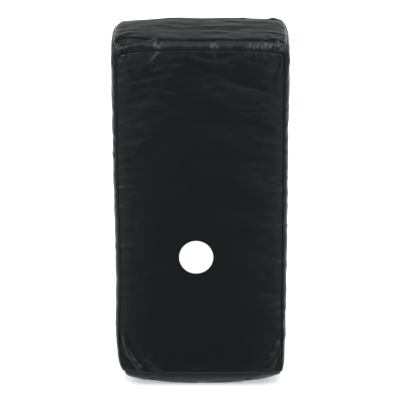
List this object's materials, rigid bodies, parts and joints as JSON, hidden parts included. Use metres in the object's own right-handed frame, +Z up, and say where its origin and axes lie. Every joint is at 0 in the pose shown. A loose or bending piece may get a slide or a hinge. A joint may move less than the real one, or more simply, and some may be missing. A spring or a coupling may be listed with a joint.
{
  "type": "rugby hit shield",
  "caption": "Upright foam hit shield in a glossy black sewn cover with a white target disc, vents, a rear zip and rear handles.",
  "frame": {"origin": "middle of the flat base that the shield stands on", "axes": "+Z up along the shield's height, -Y out of the struck face, +X to the right of someone who looks at that face"},
  "size_m": [0.3572, 0.2301, 0.7505],
  "materials": {
    "coated_fabric": "gloss",
    "piping": "satin",
    "white_vinyl": "satin",
    "soft_foam": "matte",
    "firm_foam": "matte",
    "vent_metal": "gloss",
    "webbing": "matte",
    "patch_fabric": "satin",
    "sleeve_rubber": "matte",
    "zip_tape": "matte",
    "zip_teeth": "satin",
    "zip_metal": "satin"
  },
  "bodies": {
    "shield": {"foam_strike_layer": "soft_foam", "foam_core_layer": "firm_foam", "foam_rear_layer": "soft_foam", "cover_front": "coated_fabric", "cover_top": "coated_fabric", "cover_bottom": "coated_fabric", "cover_left": "coated_fabric", "cover_right": "coated_fabric", "cover_rear": "coated_fabric", "cover_zip_flap": "coated_fabric", "rear_piping": "piping", "target_disc": "white_vinyl", "vent_eyelet_bottom_left": "vent_metal", "vent_eyelet_bottom_right": "vent_metal", "vent_eyelet_side_left": "vent_metal", "vent_eyelet_side_right": "vent_metal", "vent_washer_bottom_left": "vent_metal", "vent_washer_bottom_right": "vent_metal", "vent_washer_side_left": "vent_metal", "vent_washer_side_right": "vent_metal", "zip_tape_upper": "zip_tape", "zip_tape_lower": "zip_tape", "zip_teeth_upper": "zip_teeth", "zip_teeth_lower": "zip_teeth", "zip_stop_left": "zip_metal", "zip_stop_right": "zip_metal", "forearm_strap_foot_low": "webbing", "forearm_strap_foot_high": "webbing", "forearm_strap_patch_low": "patch_fabric", "forearm_strap_patch_high": "patch_fabric", "hand_grip_foot_low": "webbing", "hand_grip_foot_high": "webbing", "hand_grip_patch_low": "patch_fabric", "hand_grip_patch_high": "patch_fabric", "carry_handle_foot_low": "webbing", "carry_handle_foot_high": "webbing", "carry_handle_patch_low": "patch_fabric", "carry_handle_patch_high": "patch_fabric"},
    "forearm_loop": {"forearm_strap": "webbing"},
    "grip_loop": {"hand_grip": "webbing", "hand_grip_sleeve": "sleeve_rubber"},
    "carry_loop": {"carry_handle": "webbing", "carry_handle_sleeve": "sleeve_rubber"},
    "slider": {"zip_slider": "zip_metal"},
    "pull": {"zip_pull": "zip_metal"}
  },
  "joints": [
    {"name": "forearm_tip", "type": "hinge", "parent": "shield", "child": "forearm_loop", "pos_m": [-0.08, 0.0955, 0.4], "axis": [0, 0, 1], "range_deg": [-27, 27]},
    {"name": "grip_tip", "type": "hinge", "parent": "shield", "child": "grip_loop", "pos_m": [0.095, 0.0955, 0.4], "axis": [0, 0, 1], "range_deg": [-60, 60]},
    {"name": "carry_tip", "type": "hinge", "parent": "shield", "child": "carry_loop", "pos_m": [0, 0.0955, 0.655], "axis": [1, 0, 0], "range_deg": [-60, 60]},
    {"name": "zip_slide", "type": "slide", "parent": "shield", "child": "slider", "axis": [-1, 0, 0], "range_m": [0, 0.282]},
    {"name": "pull_swing", "type": "hinge", "parent": "slider", "child": "pull", "pos_m": [0.141, 0.081, 0.085], "axis": [0, 0, -1], "range_deg": [0, 170]}
  ]
}
